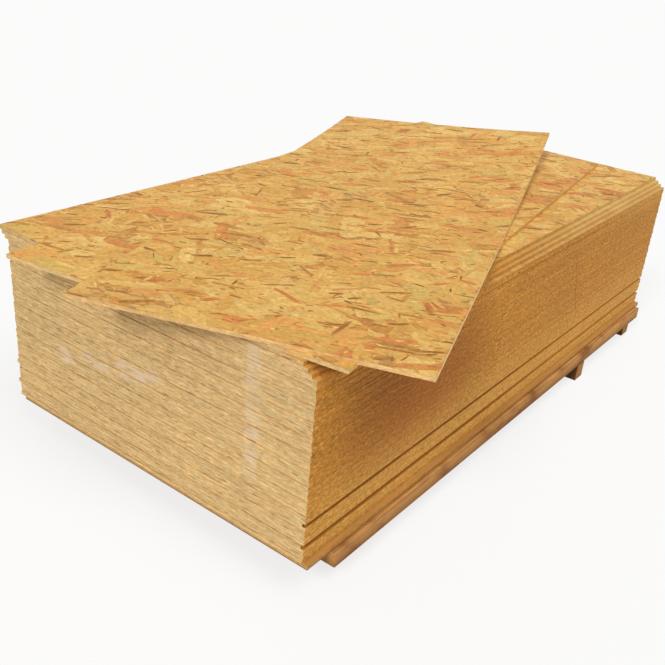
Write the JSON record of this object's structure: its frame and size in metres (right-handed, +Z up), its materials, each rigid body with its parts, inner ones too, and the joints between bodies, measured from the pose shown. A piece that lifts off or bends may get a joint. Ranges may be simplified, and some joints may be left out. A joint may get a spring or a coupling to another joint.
{
  "type": "stack of osb panels",
  "caption": "Squared pile of oriented strand board panels on a base sheet, planks and cross bearers, with loose panels turned askew on top.",
  "frame": {"origin": "on the floor, at the underside of the bearer below the middle of the pile, on the pile's centre line", "axes": "+Z up, +Y along the panels' length towards the far end, +X towards the right long side"},
  "size_m": [1.7486, 2.7026, 0.8371],
  "materials": {
    "strand_board": "raw pressed strand board, sawn edges",
    "base_board": "raw board, soiled",
    "plank_timber": "sawn timber, weathered",
    "bearer_timber": "sawn timber"
  },
  "bodies": {
    "root": {"panel_01": "strand_board", "panel_02": "strand_board", "panel_03": "strand_board", "panel_04": "strand_board", "panel_05": "strand_board", "panel_06": "strand_board", "panel_07": "strand_board", "panel_08": "strand_board", "panel_09": "strand_board", "panel_10": "strand_board", "panel_11": "strand_board", "panel_12": "strand_board", "panel_13": "strand_board", "panel_14": "strand_board", "panel_15": "strand_board", "panel_16": "strand_board", "panel_17": "strand_board", "panel_18": "strand_board", "panel_19": "strand_board", "panel_20": "strand_board", "panel_21": "strand_board", "panel_22": "strand_board", "panel_23": "strand_board", "panel_24": "strand_board", "panel_25": "strand_board", "panel_26": "strand_board", "panel_27": "strand_board", "panel_28": "strand_board", "panel_29": "strand_board", "panel_30": "strand_board", "panel_31": "strand_board", "panel_32": "strand_board", "panel_33": "strand_board", "panel_34": "strand_board", "panel_35": "strand_board", "panel_36": "strand_board", "panel_37": "strand_board", "panel_38": "strand_board", "panel_39": "strand_board", "panel_40": "strand_board", "panel_41": "strand_board", "panel_42": "strand_board", "panel_43": "strand_board", "panel_44": "strand_board", "panel_45": "strand_board", "panel_46": "strand_board", "panel_47": "strand_board", "panel_48": "strand_board", "panel_49": "strand_board", "panel_50": "strand_board", "loose_panel_lower": "strand_board", "loose_panel_upper": "strand_board", "base_sheet": "base_board", "runner_plank_left": "plank_timber", "runner_plank_middle": "plank_timber", "runner_plank_right": "plank_timber", "bearer_1": "bearer_timber", "bearer_2": "bearer_timber", "bearer_3": "bearer_timber", "bearer_4": "bearer_timber"}
  },
  "joints": []
}
